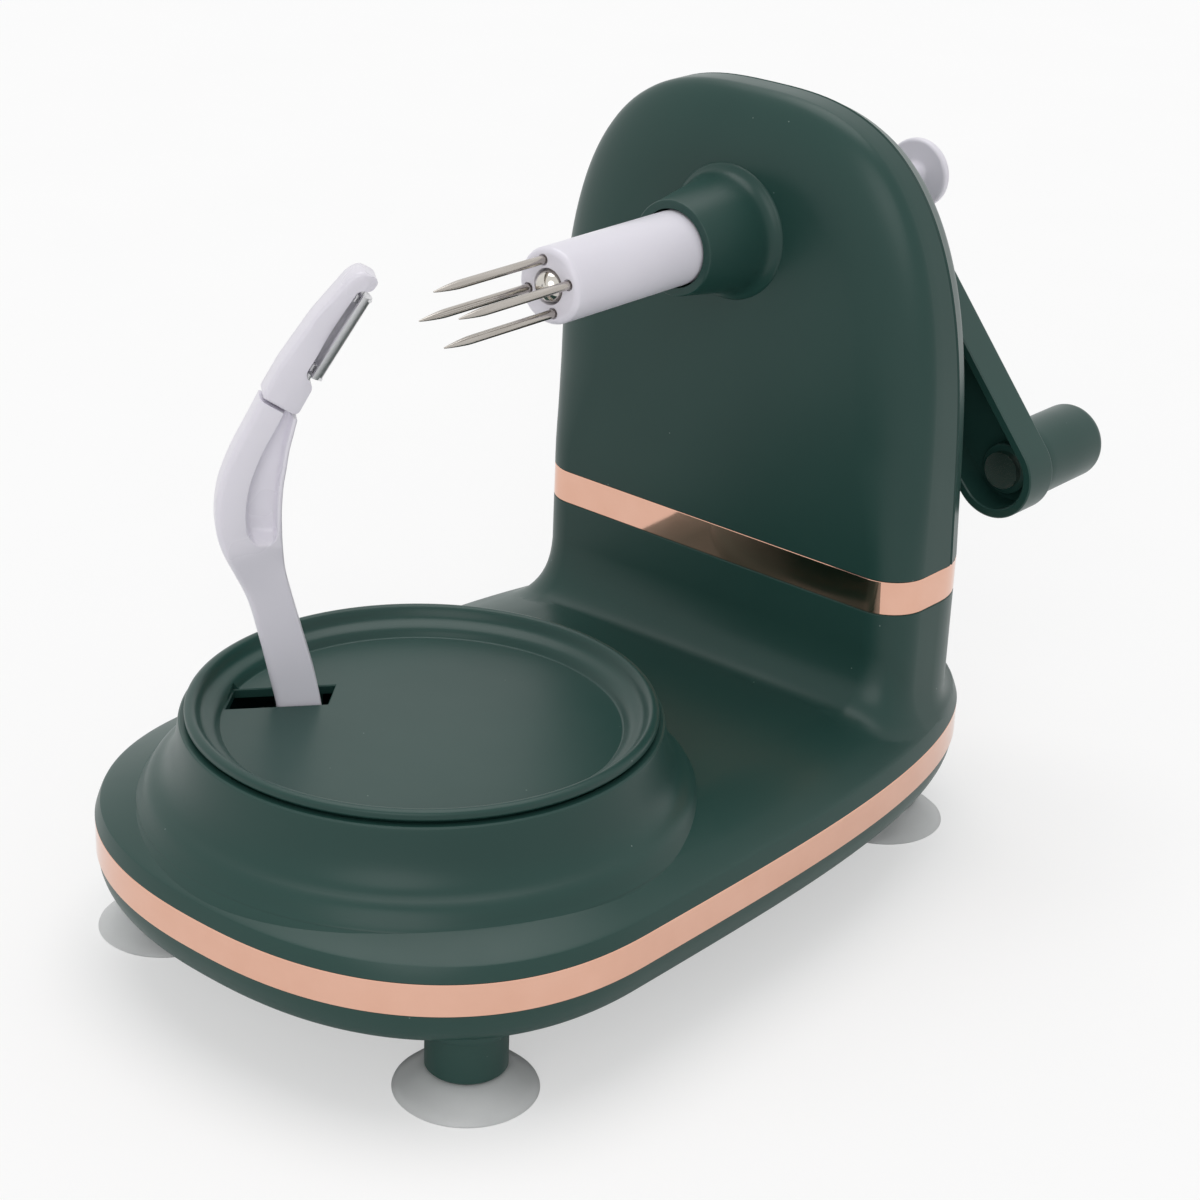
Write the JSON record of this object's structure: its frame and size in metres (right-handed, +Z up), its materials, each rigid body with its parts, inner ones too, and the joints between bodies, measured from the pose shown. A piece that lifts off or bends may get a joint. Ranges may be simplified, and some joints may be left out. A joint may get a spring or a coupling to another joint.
{
  "type": "apple_peeler",
  "caption": "Hand-cranked fruit peeler: suction feet, oval base, geared turntable with a sprung blade arm, tower with crank, tined fork and push-rod ejector",
  "frame": {"origin": "middle of the footprint of the whole part, on the surface it stands on", "axes": "+X to the crank grip's side, +Y from the turntable back to the tower and crank, +Z up"},
  "size_m": [0.135, 0.2364, 0.1742],
  "materials": {
    "green_plastic": "satin",
    "rose_gold_trim": "plated rose gold",
    "white_plastic": "gloss",
    "clear_cup": "translucent",
    "steel": "polished",
    "gear_plastic": "matt"
  },
  "bodies": {
    "base": {"bottom_tray": "green_plastic", "cup_front_left": "clear_cup", "cup_front_right": "clear_cup", "cup_rear_left": "clear_cup", "cup_rear_right": "clear_cup", "base_shell": "green_plastic", "base_band": "rose_gold_trim", "base_screws": "steel", "tower_band": "rose_gold_trim", "tower_front_shell": "green_plastic", "tower_rear_cover": "green_plastic", "tower_screws": "steel", "upper_bracket": "gear_plastic", "bracket_screws": "steel", "front_bush": "gear_plastic", "rear_bush": "gear_plastic", "gear_axles": "steel"},
    "crank": {"drive_shaft": "steel", "drive_bevel_gear": "gear_plastic", "fork_hub": "white_plastic", "fork_tines": "steel", "crank_arm": "green_plastic", "crank_pin": "steel", "eject_spring": "steel"},
    "grip": {"crank_grip": "green_plastic"},
    "ejector": {"eject_rod": "steel", "eject_collar": "steel", "eject_button": "white_plastic"},
    "vertical": {"vertical_shaft": "steel", "shaft_bevel_gear": "gear_plastic", "vertical_pinion": "gear_plastic"},
    "first_gear": {"gear_a": "gear_plastic"},
    "second_gear": {"gear_b": "gear_plastic"},
    "table": {"turntable": "green_plastic", "turntable_gear": "gear_plastic", "gear_screws": "steel", "pivot_screw": "steel", "pivot_washer": "steel", "arm_pivot_pin": "steel", "arm_spring": "steel"},
    "arm": {"peeler_arm": "white_plastic", "blade_holder": "white_plastic"},
    "blade": {"blade": "steel"}
  },
  "joints": [
    {"name": "crank_spin", "type": "hinge", "parent": "base", "child": "crank", "pos_m": [0, 0.0545, 0.1425], "axis": [0, 1, 0], "range_deg": [-5070, 930]},
    {"name": "vertical_spin", "type": "hinge", "parent": "base", "child": "vertical", "pos_m": [0, 0.0545, 0.08], "axis": [0, 0, 1], "range_deg": [-5071, 931]},
    {"name": "first_gear_spin", "type": "hinge", "parent": "base", "child": "first_gear", "pos_m": [0, 0.0245, 0.0265], "axis": [0, 0, 1], "range_deg": [-466, 2536]},
    {"name": "second_gear_spin", "type": "hinge", "parent": "base", "child": "second_gear", "pos_m": [0, -0.0055, 0.032], "axis": [0, 0, 1], "range_deg": [-1045, 193]},
    {"name": "turntable_spin", "type": "hinge", "parent": "base", "child": "table", "pos_m": [0, -0.05425, 0.05], "axis": [0, 0, 1], "range_deg": [-36, 191]},
    {"name": "grip_spin", "type": "hinge", "parent": "crank", "child": "grip", "pos_m": [0.04894, 0.10575, 0.08699], "axis": [0, 1, 0], "continuous": true},
    {"name": "eject_slide", "type": "slide", "parent": "crank", "child": "ejector", "axis": [0, -1, 0], "range_m": [0, 0.017], "stiffness_N_per_m": 250, "springref_m": -0.006, "deforming": ["eject_spring"]},
    {"name": "arm_swing", "type": "hinge", "parent": "table", "child": "arm", "pos_m": [-0.02696, -0.06354, 0.045], "axis": [0.7848, -0.6198, 0], "range_deg": [0, 25], "stiffness_Nm_per_rad": 0.25, "springref_deg": -20.05},
    {"name": "blade_rock", "type": "hinge", "parent": "arm", "child": "blade", "pos_m": [-0.02261, -0.05803, 0.13603], "axis": [0.3238, 0.41, 0.8526], "range_deg": [-15, 15]}
  ],
  "couplings": [
    {"joint": "vertical_spin", "follows": "crank_spin", "ratio": 1},
    {"joint": "first_gear_spin", "follows": "crank_spin", "ratio": -0.5},
    {"joint": "second_gear_spin", "follows": "crank_spin", "ratio": 0.20588},
    {"joint": "turntable_spin", "follows": "crank_spin", "ratio": -0.037433}
  ]
}
